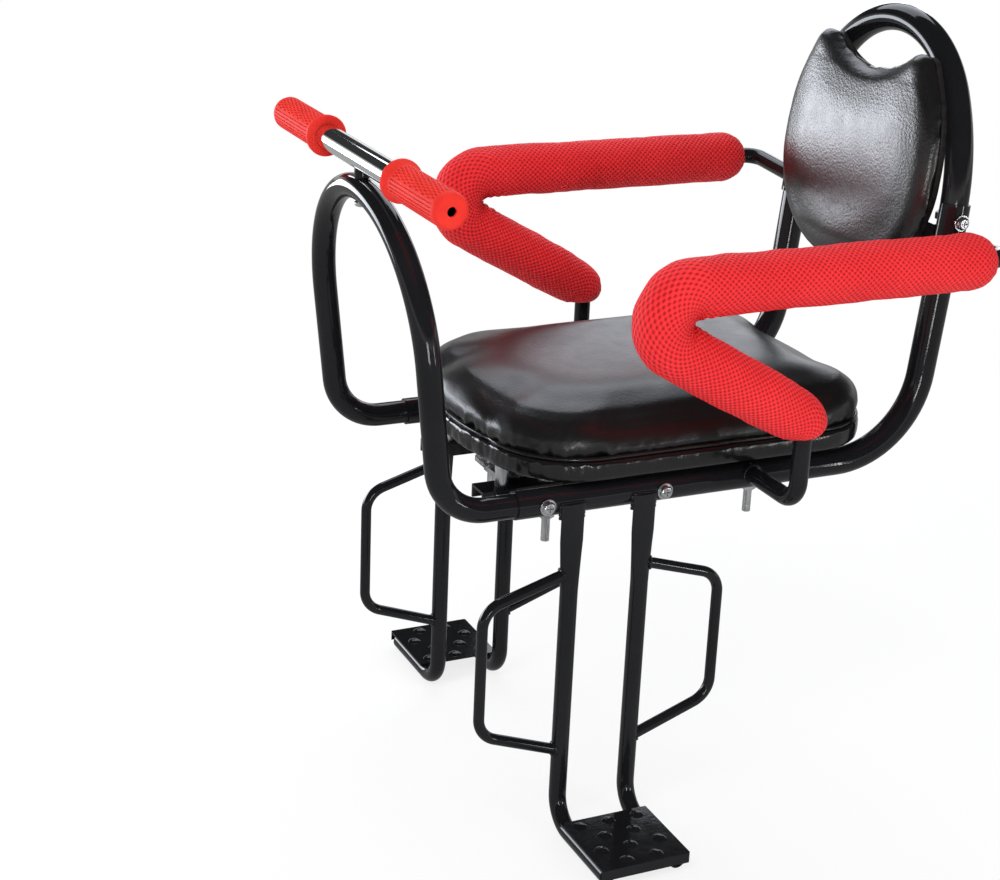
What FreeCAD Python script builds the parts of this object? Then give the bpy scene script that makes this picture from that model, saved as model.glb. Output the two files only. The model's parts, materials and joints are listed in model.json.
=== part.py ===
import FreeCAD, Part
import math
import os

from FreeCAD import Vector

# Rear child seat for a bicycle carrier. Millimetres, +Z up, the child faces -Y.
# The origin is the middle of the rack face, between the four clamp studs.

# Main frame: one bent tube, two rails under the seat and a hoop behind the back
tube_od = 25.4
tube_wall = 1.5
frame_half = 125.0        # rail axis from the middle plane
rail_height = 20.0        # rail axis above the rack face
rail_front = -171.0       # open front ends of the rails
corner_y = 234.0          # where rail axis and hoop leg would cross
corner_bend = 86.0        # bend radius from rail to leg
recline = 5.5             # lean of the hoop in degrees
leg_length = 227.0        # straight leg, along the lean, up to the arch
arch_rise = 158.0         # arch axis above the straight legs
arch_top_radius = 112.0

# Front guard: a bent tube that slides into the rails and is bolted there
slip_fit = 0.2            # clearance round a tube inside another
guard_wall = 1.5
guard_insert = 152.0      # length inside each rail
guard_reach = 68.0        # from rail end to the line of the guard legs
guard_bend = 46.0
guard_lean = 6.2          # forward lean in degrees
guard_height = 256.0      # arch axis above the rail axis, along the lean

# Handlebar and grips
bar_od = 22.0
bar_wall = 1.2
bar_length = 380.0
bar_seat = 5.0            # gap between bar and guard, filled by the round spacer
bar_spacer_d = 13.0
grip_od = 32.0
grip_length = 108.0
grip_end_wall = 3.5
grip_fit = 0.1
grip_flange_od = 37.0
grip_flange = 6.0
grip_end_hole = 8.0
grip_slope = 3.0          # slope at the flange and chamfer at the end
grip_grooves = 28         # lengthwise grooves round the grip
grip_groove_r = 0.8

# Screws
rail_screw_d = 6.0
rail_screw_places = (-144.5, -30.0)
bar_screw_d = 6.0
hole_play = 0.2           # radial play of a hole round its screw
washer_thick = 1.2
washer_r = 7.5
small_nut_flats = 10.0    # nuts of the 6 mm screws
small_nut_thick = 5.0
screw_tail = 8.0          # thread past the tube
head_share = 0.62         # screw head height over thread diameter
head_dome = 0.6           # rounding of the head over its height
curve_play = 0.25         # a flat nut or head stands off the curved tube by this
recess_reach = 1.1        # cross recess in a head, tip to tip over thread diameter
recess_width = 0.2
recess_depth = 0.3
same_place = 0.01         # tolerance when an edge is picked by its place

# Seat
seat_width = 286.0
seat_length = 377.0
seat_rear = 197.0
seat_front_corner = 78.0
seat_rear_corner = 66.0
seat_front_bow = 9.0      # how far the front edge bows out
seat_gap = 26.0           # spacer height between base bar and seat base
seat_base_thick = 20.0
seat_base_edge = 5.0
seat_inset = 3.0          # the cushion's foot lies this far inside the base
cushion_thick = 40.0
cushion_round = 30.0

# Backrest, drawn in the leaning plane of the hoop, heights above the rail axis
back_bottom = 149.0
back_side_inset = 6.0     # side edge inside the leg axis
back_foot_corner = 100.0
back_shoulder_drop = 70.0  # from the horns down to where the straight sides turn in
back_shoulder_round = 150.0
horn_half = 80.0
horn_height = 370.0
horn_round = 18.0
notch_drop = 54.0         # from the horns down to where the notch's two slopes would cross
notch_round = 105.0
board_thick = 6.0
board_inset = 4.0
pad_thick = 17.5
pad_round = 15.0
back_strap_heights = (205.0, 305.0)
back_strap_width = 22.0
back_strap_thick = 3.0
back_strap_short = 6.0    # strap ends this far short of the leg axis
back_screw_half = 62.0    # screw places on each strap, from the middle
back_screw_d = 5.0
back_screw_bite = 5.0

# Armrests
arm_od = 16.0
arm_wall = 1.5
arm_x = 210.0
arm_post_y = 60.0
arm_stub_z = 24.0
arm_stub_bend = 21.0
arm_knee_bend = 26.5
arm_front_y = -86.0       # foremost point of the turn, on the axis
arm_turn_radius = 28.0
arm_top_z = 229.0
arm_run_angle = 29.7      # rise of the lower run in degrees
arm_rear_bend = 16.0
arm_end_height = 203.0    # where the tube meets its saddle, above the rail axis
sleeve_od = 50.0
sleeve_fit = 0.15
sleeve_low_z = 80.0       # lower end of the foam on the post
sleeve_rear_y = 235.0
sleeve_low_round = 5.0
sleeve_rear_round = 16.0

# Armrest saddles on the hoop
saddle_thick = 2.0
saddle_low = 190.0        # heights above the rail axis
saddle_high = 237.0
saddle_screw_height = 222.5
saddle_screw_d = 6.0
seat_fit = 0.05           # clearance where a shaped face beds on a tube

# Footrests
foot_od = 16.0
foot_wall = 1.5
foot_flat_width = 22.3
foot_flat_thick = 5.0
foot_ys = (-121.0, -51.0)
foot_flat_top = 21.0
foot_flat_end = -14.0
foot_taper_end = -62.0
foot_bend = 27.0
plate_top_z = -280.0
plate_inner_x = 166.0
plate_outer_x = 250.0
plate_overhang = 8.5      # plate edge past each tube axis, along Y
plate_sheet = 2.0
plate_rim = 10.0
stud_rows = 4
stud_columns = 3
grip_stud_r = 6.5
grip_stud_rise = 2.6
grip_stud_root = 0.2      # how far a stud goes into the sheet
rim_share = 0.9           # rounding of the plate's outer corners over the sheet
foot_tube_short = 7.0     # tube ends this far inside the plate's outer edge

# Spoke guards, bent rods on the footrest tubes
rod_d = 10.0
rod_top_z = -43.0
rod_low_z = -220.0
rod_reach = 82.0
rod_top_drop = 25.0
rod_low_rise = 30.0
rod_bend = 24.0

# Rack clamp under the seat
base_half = 60.0          # base bar from the middle plane
base_width = 24.0
base_height = 12.0
base_wall = 2.5
base_front = -176.0
base_rear = 150.0
strap_width = 30.0
strap_thick = 4.0
strap_ys = (-78.0, 78.0)
stud_half_y = 106.5       # clamp studs from the origin along Y
stud_d = 8.0
stud_low_z = -48.0
stud_head_d = 18.0
stud_head = 4.6
stud_dome = 0.8           # rounding of the head over its height
rack_gap = 13.0           # room for the carrier's rods
clamp_length = 152.0
clamp_width = 26.0
clamp_thick = 4.0
nut_flats = 13.0
nut_thick = 6.5
ring_margin = 2.5         # washer edge past the nut's flats
spacer_od = 12.0
spacer_ys = (-153.0, 136.0)
seat_screw_d = 6.0
seat_screw_bite = 12.0

# Derived sizes
tube_r = tube_od / 2
guard_od = tube_od - 2 * tube_wall - 2 * slip_fit
guard_r = guard_od / 2
bar_r = bar_od / 2
lean = math.radians(recline)
guard_tilt = math.radians(guard_lean)
guard_y = rail_front - guard_reach
seat_front = seat_rear - seat_length
back_half = frame_half - back_side_inset
back_shoulder_z = horn_height - back_shoulder_drop
notch_height = horn_height - notch_drop
seat_bottom_z = base_height + seat_gap
cushion_bottom_z = seat_bottom_z + seat_base_thick
foot_x = frame_half + tube_r + foot_flat_thick / 2 + seat_fit
foot_run_z = plate_top_z - plate_sheet - foot_od / 2 - seat_fit
up = Vector(0, 0, 1)
side = Vector(1, 0, 0)
lean_up = Vector(0, math.sin(lean), math.cos(lean))
lean_rear = Vector(0, math.cos(lean), -math.sin(lean))


# General shapes

def mirrored(shape):
    return shape.mirror(Vector(0, 0, 0), side)


def line(a, b):
    return Part.LineSegment(a, b).toShape()


def arc(a, middle, b):
    return Part.Arc(a, middle, b).toShape()


def bent_path(corners, radii):
    """Edges through the corners, with a tangent arc of the given radius at each inner corner."""
    edges = []
    last = corners[0]
    for here, before, after, radius in zip(corners[1:], corners, corners[2:], radii):
        back = (before - here).normalize()
        ahead = (after - here).normalize()
        half = back.getAngle(ahead) / 2
        reach = radius / math.tan(half)
        bisector = (back + ahead).normalize()
        middle = here + bisector * (radius / math.sin(half) - radius)
        start = here + back * reach
        end = here + ahead * reach
        edges.append(line(last, start))
        edges.append(arc(start, middle, end))
        last = end
    edges.append(line(last, corners[-1]))
    return edges


def rod(edges, radius):
    """A round bar swept along joined edges."""
    first = edges[0]
    start = first.valueAt(first.FirstParameter)
    direction = first.tangentAt(first.FirstParameter)
    section = Part.Wire(Part.makeCircle(radius, start, direction))
    return Part.Wire(edges).makePipeShell([section], True, False)


def pipe(edges, diameter, wall):
    return rod(edges, diameter / 2).cut(rod(edges, diameter / 2 - wall))


def cylinder(radius, start, end):
    return Part.makeCylinder(radius, (end - start).Length, start, end - start)


def drill(shape, diameter, start, end):
    return shape.cut(cylinder(diameter / 2 + hole_play, start, end))


def pan_head(diameter, seat, outward):
    """A low domed screw head with a cross recess, standing on its seat."""
    height = head_share * diameter
    head = Part.makeCylinder(diameter, height, seat, outward)
    edge = [e for e in head.Edges if e.Closed and (e.CenterOfMass - seat).Length > height / 2]
    head = head.makeFillet(height * head_dome, edge)
    reach = recess_reach * diameter
    width = recess_width * diameter
    depth = recess_depth * diameter
    for long, wide in ((reach, width), (width, reach)):
        slot = Part.makeBox(long, wide, depth, Vector(-long / 2, -wide / 2, height - depth))
        slot.Placement = FreeCAD.Placement(seat, FreeCAD.Rotation(up, outward))
        head = head.cut(slot)
    return head


def washer(outer, inner, seat, outward):
    ring = Part.makeCylinder(outer, washer_thick, seat, outward)
    return ring.cut(Part.makeCylinder(inner, washer_thick, seat, outward))


def hex_nut(flats, thick, bore, seat, outward):
    corner = flats / 2 / math.cos(math.pi / 6)
    turn = FreeCAD.Rotation(up, outward)
    points = []
    for k in range(7):
        angle = math.radians(60 * k)
        points.append(seat + turn.multVec(Vector(corner * math.cos(angle), corner * math.sin(angle), 0)))
    body = Part.Face(Part.makePolygon(points)).extrude(outward.normalize() * thick)
    return body.cut(Part.makeCylinder(bore, thick, seat, outward))


def outline_face(edges):
    return Part.Face(Part.Wire(Part.__sortEdges__(edges)))


def fillet_level(shape, radius, origin, normal, level):
    """Round the edges that lie at one level of a prism."""
    chosen = []
    for edge in shape.Edges:
        height = [(v.Point - origin).dot(normal) for v in edge.Vertexes]
        if all(abs(h - level) < 1e-4 for h in height):
            chosen.append(edge)
    return shape.makeFillet(radius, chosen)


# Main frame

def hoop_point(x, height):
    """A point of the hoop's leaning plane, by distance along the lean from the rail axis."""
    return Vector(x, corner_y, rail_height) + lean_up * height


arch_drop = arch_rise - arch_top_radius
arch_square = frame_half ** 2 + arch_drop ** 2 - arch_top_radius ** 2
arch_side_radius = arch_square / (2 * (frame_half - arch_top_radius))
arch_turn = math.atan2(arch_drop, arch_side_radius - frame_half)


def arch_side(angle):
    """A point of the arch's long side arc, on the +X side."""
    x = frame_half - arch_side_radius + arch_side_radius * math.cos(angle)
    return hoop_point(x, leg_length + arch_side_radius * math.sin(angle))


def leg_side(height):
    """A point of the +X leg or its arch by height above the rail axis, and the outward direction there."""
    along = height / math.cos(lean)
    if along <= leg_length:
        return hoop_point(frame_half, along), side
    angle = math.asin((along - leg_length) / arch_side_radius)
    return arch_side(angle), side * math.cos(angle) + lean_up * math.sin(angle)


def flip(point):
    return Vector(-point.x, point.y, point.z)


def frame_edges():
    leg_foot = hoop_point(frame_half, 0)
    leg_top = arch_side(0)
    shoulder = arch_side(arch_turn)
    crown = hoop_point(0, leg_length + arch_rise)
    rise = bent_path([Vector(frame_half, rail_front, rail_height), leg_foot, leg_top], [corner_bend])
    side_arc = arc(leg_top, arch_side(arch_turn / 2), shoulder)
    top_arc = arc(shoulder, crown, flip(shoulder))
    other_arc = arc(flip(shoulder), flip(arch_side(arch_turn / 2)), flip(leg_top))
    fall = bent_path(
        [flip(leg_top), flip(leg_foot), Vector(-frame_half, rail_front, rail_height)], [corner_bend])
    return rise + [side_arc, top_arc, other_arc] + fall


def main_frame():
    frame = pipe(frame_edges(), tube_od, tube_wall)
    for y in rail_screw_places:
        for x in (frame_half, -frame_half):
            centre = Vector(x, y, rail_height)
            frame = drill(frame, rail_screw_d, centre - side * tube_od, centre + side * tube_od)
    centre, outward = leg_side(saddle_screw_height)
    hole = cylinder(saddle_screw_d / 2 + hole_play, centre - outward * tube_od, centre + outward * tube_od)
    return frame.cut(hole).cut(mirrored(hole))


# Front guard

def guard_point(x, height):
    return Vector(x, guard_y - height * math.sin(guard_tilt), rail_height + height * math.cos(guard_tilt))


def guard_edges():
    spring = guard_height - frame_half
    rise = bent_path(
        [Vector(frame_half, rail_front + guard_insert, rail_height), guard_point(frame_half, 0),
         guard_point(frame_half, spring)], [guard_bend])
    top = arc(guard_point(frame_half, spring), guard_point(0, guard_height), guard_point(-frame_half, spring))
    fall = bent_path(
        [guard_point(-frame_half, spring), guard_point(-frame_half, 0),
         Vector(-frame_half, rail_front + guard_insert, rail_height)], [guard_bend])
    return rise + [top] + fall


bar_centre = guard_point(0, guard_height) + up * (guard_r + bar_seat + bar_r)


def front_guard():
    guard = pipe(guard_edges(), guard_od, guard_wall)
    for y in rail_screw_places:
        for x in (frame_half, -frame_half):
            centre = Vector(x, y, rail_height)
            guard = drill(guard, rail_screw_d, centre - side * tube_od, centre + side * tube_od)
    return drill(guard, bar_screw_d, bar_centre - up * (2 * bar_od + guard_od), bar_centre)


# Handlebar

def handlebar():
    half = side * (bar_length / 2)
    bar = pipe([line(bar_centre - half, bar_centre + half)], bar_od, bar_wall)
    return drill(bar, bar_screw_d, bar_centre - up * bar_od, bar_centre)


def bar_saddle():
    """The round spacer between bar and guard, hollowed to the shape of both tubes."""
    low = bar_centre - up * (bar_r + bar_seat + guard_r)
    half = side * bar_length
    spacer = cylinder(bar_spacer_d / 2, low, bar_centre)
    spacer = spacer.cut(cylinder(bar_r + seat_fit, bar_centre - half, bar_centre + half))
    spacer = spacer.cut(rod(guard_edges(), guard_r + seat_fit))
    spacer = max(spacer.Solids, key=lambda solid: solid.Volume)
    return drill(spacer, bar_screw_d, low, bar_centre)


def bar_nut_seat():
    """The lower face of the nut that lies inside the bar."""
    corner = small_nut_flats / 2 / math.cos(math.pi / 6)
    drop = math.sqrt((bar_r - bar_wall) ** 2 - corner ** 2)
    return bar_centre - up * (drop - curve_play)


def bar_screw():
    """The screw goes up through the guard and the spacer into the nut in the bar."""
    head_seat = bar_centre - up * (bar_r + bar_seat + guard_od + curve_play)
    tip = bar_nut_seat() + up * (small_nut_thick + washer_thick)
    return pan_head(bar_screw_d, head_seat, up * -1).fuse(cylinder(bar_screw_d / 2, head_seat, tip))


def bar_nut():
    bore = bar_screw_d / 2 + seat_fit
    return hex_nut(small_nut_flats, small_nut_thick, bore, bar_nut_seat(), up)


def grip():
    """A ribbed rubber grip on the +X end, turned about the bar axis and grooved lengthwise."""
    end = bar_length / 2 + grip_end_wall
    inner = end - grip_length
    outer_r = grip_od / 2
    bore = bar_r + grip_fit
    profile = Part.makePolygon([
        Vector(inner, 0, bore), Vector(inner, 0, grip_flange_od / 2),
        Vector(inner + grip_flange, 0, grip_flange_od / 2),
        Vector(inner + grip_flange + grip_slope, 0, outer_r),
        Vector(end - grip_slope, 0, outer_r), Vector(end, 0, outer_r - grip_slope),
        Vector(end, 0, grip_end_hole / 2), Vector(end - grip_end_wall, 0, grip_end_hole / 2),
        Vector(end - grip_end_wall, 0, bore), Vector(inner, 0, bore)])
    body = Part.Face(profile).revolve(Vector(0, 0, 0), side, 360)
    start = side * (inner + grip_flange + 2 * grip_slope)
    stop = side * (end - 2 * grip_slope)
    grooves = []
    for k in range(grip_grooves):
        angle = 2 * math.pi * k / grip_grooves
        radial = Vector(0, math.cos(angle), math.sin(angle)) * outer_r
        grooves.append(cylinder(grip_groove_r, start + radial, stop + radial))
    body = body.cut(grooves)
    body.translate(bar_centre)
    return body


# Seat

def seat_outline(inset, z):
    """The seat's plan: round corners, a bowed front edge and straight sides."""
    half = seat_width / 2 - inset
    front = seat_front + inset
    back = seat_rear - inset
    fc = seat_front_corner - inset
    rc = seat_rear_corner - inset
    bow = seat_front_bow
    diagonal = math.sqrt(0.5)

    def at(x, y):
        return Vector(x, y, z)

    front_mid = at(0, front)
    front_end = at(half - fc, front + bow)
    edges = []
    for s in (1, -1):
        front_turn = at(s * (half - fc + fc * diagonal), front + bow + fc * (1 - diagonal))
        back_turn = at(s * (half - rc + rc * diagonal), back - rc + rc * diagonal)
        edges.append(arc(at(s * (half - fc), front + bow), front_turn, at(s * half, front + bow + fc)))
        edges.append(line(at(s * half, front + bow + fc), at(s * half, back - rc)))
        edges.append(arc(at(s * half, back - rc), back_turn, at(s * (half - rc), back)))
    edges.append(line(at(half - rc, back), at(rc - half, back)))
    edges.append(arc(front_end, front_mid, flip(front_end)))
    return edges


def spacer_points(z):
    return [Vector(x, y, z) for y in spacer_ys for x in (base_half, -base_half)]


def seat_base():
    face = outline_face(seat_outline(0, seat_bottom_z))
    base = face.extrude(up * seat_base_thick)
    base = fillet_level(base, seat_base_edge, Vector(0, 0, 0), up, seat_bottom_z)
    for point in spacer_points(seat_bottom_z):
        base = drill(base, seat_screw_d, point, point + up * (seat_screw_bite + seat_fit))
    return base


def seat_cushion():
    face = outline_face(seat_outline(seat_inset, cushion_bottom_z))
    block = face.extrude(up * cushion_thick)
    return fillet_level(block, cushion_round, Vector(0, 0, 0), up, cushion_bottom_z + cushion_thick)


# Backrest

def back_point(x, height, depth):
    """A point of the backrest by height above the rail axis and distance in front of the hoop axis."""
    return hoop_point(x, height / math.cos(lean)) - lean_rear * depth


def back_outline(depth):
    """Rounded foot, upright sides, sloping shoulders, two horns and the hand notch between them."""
    shoulder_turn = math.atan2(back_half - horn_half, back_shoulder_drop)
    straight = back_shoulder_z - back_bottom - back_shoulder_round * math.tan(shoulder_turn / 2)
    foot_corner = min(back_foot_corner, straight - seat_fit)
    corners = [
        (back_half, back_bottom, foot_corner), (back_half, back_shoulder_z, back_shoulder_round),
        (horn_half, horn_height, horn_round), (0, notch_height, notch_round),
        (-horn_half, horn_height, horn_round), (-back_half, back_shoulder_z, back_shoulder_round),
        (-back_half, back_bottom, foot_corner)]
    middle = back_point(0, back_bottom, depth)
    points = [middle] + [back_point(x, z, depth) for x, z, r in corners] + [middle]
    return Part.Wire(bent_path(points, [r for x, z, r in corners]))


board_depth = tube_r + seat_fit
pad_depth = board_depth + board_thick


def back_screw_points(depth):
    places = (back_screw_half, -back_screw_half)
    return [back_point(x, height, depth) for height in back_strap_heights for x in places]


def back_board():
    outline = back_outline(board_depth).makeOffset2D(-board_inset)
    board = Part.Face(outline).extrude(lean_rear * -board_thick)
    for point in back_screw_points(board_depth):
        tip = point - lean_rear * (back_screw_bite + seat_fit)
        board = drill(board, back_screw_d, point + lean_rear, tip)
    return board


def back_cushion():
    pad = Part.Face(back_outline(pad_depth)).extrude(lean_rear * -pad_thick)
    level = -pad_depth - pad_thick
    return fillet_level(pad, pad_round, Vector(0, corner_y, rail_height), lean_rear, level)


def back_strap(height):
    """A flat bar across the hoop, cut to fit round both legs."""
    half = leg_side(height)[0].x - back_strap_short
    low = back_point(-half, height - back_strap_width / 2, board_depth)
    strap = Part.makeBox(2 * half, back_strap_thick, back_strap_width)
    strap.Placement = FreeCAD.Placement(low, FreeCAD.Rotation(side, -recline))
    strap = strap.cut(rod(frame_edges(), tube_r + seat_fit))
    strap = max(strap.Solids, key=lambda solid: solid.Volume)
    for x in (back_screw_half, -back_screw_half):
        point = back_point(x, height, board_depth)
        strap = drill(strap, back_screw_d, point - lean_rear, point + lean_rear * 2 * back_strap_thick)
    return strap


def back_screws():
    screws = []
    for point in back_screw_points(board_depth):
        seat = point + lean_rear * back_strap_thick
        tip = point - lean_rear * back_screw_bite
        screws.append(pan_head(back_screw_d, seat, lean_rear).fuse(cylinder(back_screw_d / 2, tip, seat)))
    return Part.makeCompound(screws)


# Armrests

def arm_corners():
    angle = math.radians(arm_run_angle)
    turn_y = arm_front_y + arm_turn_radius
    turn_z = arm_top_z - arm_turn_radius
    touch_y = turn_y - arm_turn_radius * math.sin(angle)
    touch_z = turn_z - arm_turn_radius * math.cos(angle)
    knee_z = touch_z - (arm_post_y - touch_y) * math.tan(angle)
    front_y = touch_y - (arm_top_z - touch_z) / math.tan(angle)
    end = leg_side(arm_end_height)[0]
    return {
        "rail": Vector(frame_half, arm_post_y, arm_stub_z),
        "stub": Vector(arm_x, arm_post_y, arm_stub_z),
        "knee": Vector(arm_x, arm_post_y, knee_z),
        "front": Vector(arm_x, front_y, arm_top_z),
        "rear": Vector(arm_x, end.y, arm_top_z),
        "hoop": end,
    }


def armrest_tube():
    c = arm_corners()
    edges = bent_path(
        [c["rail"], c["stub"], c["knee"], c["front"], c["rear"], c["hoop"]],
        [arm_stub_bend, arm_knee_bend, arm_turn_radius, arm_rear_bend])
    tube = pipe(edges, arm_od, arm_wall)
    tube = tube.cut(rod(frame_edges(), tube_r + seat_fit))
    tube = tube.cut(rod(saddle_edges(), tube_r + saddle_thick + 2 * seat_fit))
    return max(tube.Solids, key=lambda solid: solid.Volume)


def armrest_sleeve():
    """The foam roll, a thick tube on the armrest with rounded ends."""
    c = arm_corners()
    low_end = Vector(arm_x, arm_post_y, sleeve_low_z)
    rear_end = Vector(arm_x, sleeve_rear_y, arm_top_z)
    edges = bent_path([low_end, c["knee"], c["front"], rear_end], [arm_knee_bend, arm_turn_radius])
    roll = rod(edges, sleeve_od / 2)
    for end, radius in ((low_end, sleeve_low_round), (rear_end, sleeve_rear_round)):
        rims = [e for e in roll.Edges if e.Closed and (e.CenterOfMass - end).Length < same_place]
        roll = roll.makeFillet(radius, rims)
    return roll.cut(rod(edges, arm_od / 2 + sleeve_fit))


def saddle_edges():
    """The saddle's length on the leg and, above it, on the arch."""
    turn = leg_length * math.cos(lean)
    edges = []
    if saddle_low < turn:
        edges.append(line(leg_side(saddle_low)[0], leg_side(min(saddle_high, turn))[0]))
    if saddle_high > turn:
        start = max(saddle_low, turn)
        middle = leg_side((start + saddle_high) / 2)[0]
        edges.append(arc(leg_side(start)[0], middle, leg_side(saddle_high)[0]))
    return edges


def armrest_saddle():
    """A half sleeve of sheet steel round the outside of the hoop leg."""
    shell = rod(saddle_edges(), tube_r + seat_fit + saddle_thick).cut(rod(saddle_edges(), tube_r + seat_fit))
    centre, outward = leg_side(saddle_screw_height)
    size = 4 * tube_od
    half_space = Part.makeBox(size, size, size, Vector(centre.x, centre.y - size / 2, centre.z - size / 2))
    shell = shell.common(half_space)
    return drill(shell, saddle_screw_d, centre, centre + outward * size)


def saddle_screw_solids():
    centre, outward = leg_side(saddle_screw_height)
    washer_seat = centre + outward * (tube_r + saddle_thick + 2 * seat_fit)
    head_seat = washer_seat + outward * washer_thick
    tip = centre - outward * (tube_r + screw_tail)
    screw = pan_head(saddle_screw_d, head_seat, outward).fuse(cylinder(saddle_screw_d / 2, tip, head_seat))
    ring = washer(washer_r, saddle_screw_d / 2 + hole_play, washer_seat, outward)
    nut_seat = centre - outward * (tube_r + curve_play)
    nut = hex_nut(small_nut_flats, small_nut_thick, saddle_screw_d / 2 + seat_fit, nut_seat, outward * -1)
    return screw, ring, nut


def both_sides(shape):
    return Part.makeCompound([shape, mirrored(shape)])


# Rail screws

def rail_screw_solids():
    screws, rings, nuts = [], [], []
    for y in rail_screw_places:
        for s in (1, -1):
            outward = side * s
            centre = Vector(s * frame_half, y, rail_height)
            washer_seat = centre + outward * (tube_r + seat_fit)
            head_seat = washer_seat + outward * washer_thick
            nut_seat = centre - outward * (tube_r + seat_fit)
            tip = centre - outward * (tube_r + screw_tail)
            shank = cylinder(rail_screw_d / 2, tip, head_seat)
            bore = rail_screw_d / 2 + seat_fit
            screws.append(pan_head(rail_screw_d, head_seat, outward).fuse(shank))
            rings.append(washer(washer_r, rail_screw_d / 2 + hole_play, washer_seat, outward))
            nuts.append(hex_nut(small_nut_flats, small_nut_thick, bore, nut_seat, outward * -1))
    return Part.makeCompound(screws), Part.makeCompound(rings), Part.makeCompound(nuts)


# Footrests

def flat_section(y, z):
    middle = Vector(foot_x, y, z)
    wide = Vector(foot_x, y + foot_flat_width / 2, z)
    thick = Vector(foot_x + foot_flat_thick / 2, y, z)
    return Part.Wire(Part.Ellipse(wide, thick, middle).toShape())


def foot_path(y):
    return bent_path(
        [Vector(foot_x, y, foot_taper_end), Vector(foot_x, y, foot_run_z),
         Vector(plate_outer_x - foot_tube_short, y, foot_run_z)], [foot_bend])


def foot_tube(y):
    """A tube pressed flat where it is welded to the rail, and bent out under the plate."""
    circle = Part.makeCircle(foot_od / 2, Vector(foot_x, y, foot_taper_end), up)
    circle.rotate(Vector(foot_x, y, foot_taper_end), up, 90)
    taper = Part.makeLoft([flat_section(y, foot_flat_end), Part.Wire(circle)], True)
    flat = Part.Face(flat_section(y, foot_flat_end)).extrude(up * (foot_flat_top - foot_flat_end))
    return pipe(foot_path(y), foot_od, foot_wall).fuse([taper, flat]).removeSplitter()


def spoke_rod(y, direction):
    """A bent rod beside a footrest tube, its ends cut to fit the tube."""
    out = y + direction * rod_reach
    edges = bent_path(
        [Vector(foot_x, y, rod_top_z), Vector(foot_x, out, rod_top_z - rod_top_drop),
         Vector(foot_x, out, rod_low_z + rod_low_rise), Vector(foot_x, y, rod_low_z)], [rod_bend, rod_bend])
    bar = rod(edges, rod_d / 2)
    low = Vector(foot_x, y, rod_low_z - foot_od)
    tube = cylinder(foot_od / 2 + seat_fit, low, Vector(foot_x, y, foot_taper_end))
    bar = bar.cut(tube.fuse(foot_tube(y)))
    return max(bar.Solids, key=lambda solid: solid.Volume)


def foot_plate():
    """A pressed sheet plate with turned-down rims and rows of grip studs."""
    y0 = foot_ys[0] - plate_overhang
    width = foot_ys[1] + plate_overhang - y0
    depth = plate_outer_x - plate_inner_x
    sheet = Part.makeBox(depth, width, plate_sheet, Vector(plate_inner_x, y0, plate_top_z - plate_sheet))
    rim_corner = Vector(plate_outer_x - plate_sheet, y0, plate_top_z - plate_rim)
    rim = Part.makeBox(plate_sheet, width, plate_rim, rim_corner)
    plate = sheet.fuse(rim).removeSplitter()
    posts = []
    for edge in plate.Edges:
        upright = abs(abs(edge.tangentAt(edge.FirstParameter).z) - 1) < same_place
        if upright and abs(edge.CenterOfMass.x - plate_outer_x) < same_place:
            posts.append(edge)
    plate = plate.makeFillet(plate_sheet * rim_share, posts)
    pitch_x = depth / stud_rows
    pitch_y = width / stud_columns
    cap_r = (grip_stud_r ** 2 + grip_stud_rise ** 2) / (2 * grip_stud_rise)
    studs = []
    for row in range(stud_rows):
        short = row % 2
        for column in range(stud_columns - short):
            x = plate_inner_x + pitch_x * (row + 0.5)
            y = y0 + pitch_y * (column + 0.5 + short / 2)
            ball = Part.makeSphere(cap_r, Vector(x, y, plate_top_z + grip_stud_rise - cap_r))
            corner = Vector(x - 2 * grip_stud_r, y - 2 * grip_stud_r, plate_top_z - grip_stud_root)
            above = Part.makeBox(4 * grip_stud_r, 4 * grip_stud_r, 2 * grip_stud_rise, corner)
            studs.append(ball.common(above))
    return plate.fuse(studs)


# Rack clamp

def stud_points(z):
    return [Vector(x, y, z) for y in (-stud_half_y, stud_half_y) for x in (base_half, -base_half)]


def base_bar():
    """A channel, open below, on the +X side."""
    length = base_rear - base_front
    corner = Vector(base_half - base_width / 2, base_front, 0)
    bar = Part.makeBox(base_width, length, base_height, corner)
    inner_width = base_width - 2 * base_wall
    bar = bar.cut(Part.makeBox(inner_width, length, base_height - base_wall, corner + side * base_wall))
    for point in stud_points(0):
        bar = drill(bar, stud_d, point, point + up * 2 * base_height)
    for point in spacer_points(0):
        bar = drill(bar, seat_screw_d, point, point + up * 2 * base_height)
    return bar


def cross_strap(y):
    corner = Vector(-frame_half, y - strap_width / 2, base_height)
    strap = Part.makeBox(2 * frame_half, strap_width, strap_thick, corner)
    strap = strap.cut(rod(frame_edges(), tube_r + seat_fit))
    return max(strap.Solids, key=lambda solid: solid.Volume)


def mount_studs():
    studs = []
    for point in stud_points(base_height):
        head = Part.makeCylinder(stud_head_d / 2, stud_head, point)
        rim = [e for e in head.Edges if e.Closed and e.CenterOfMass.z > base_height + stud_head / 2]
        head = head.makeFillet(stud_head * stud_dome, rim)
        studs.append(head.fuse(cylinder(stud_d / 2, Vector(point.x, point.y, stud_low_z), point)))
    return Part.makeCompound(studs)


def clamp_plate(y):
    corner = Vector(-clamp_length / 2, y - clamp_width / 2, -rack_gap - clamp_thick)
    plate = Part.makeBox(clamp_length, clamp_width, clamp_thick, corner)
    posts = [e for e in plate.Edges if abs(abs(e.tangentAt(e.FirstParameter).z) - 1) < same_place]
    plate = plate.makeFillet(clamp_width / 4, posts)
    for x in (base_half, -base_half):
        plate = drill(plate, stud_d, Vector(x, y, -2 * rack_gap), Vector(x, y, 0))
    return plate


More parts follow.
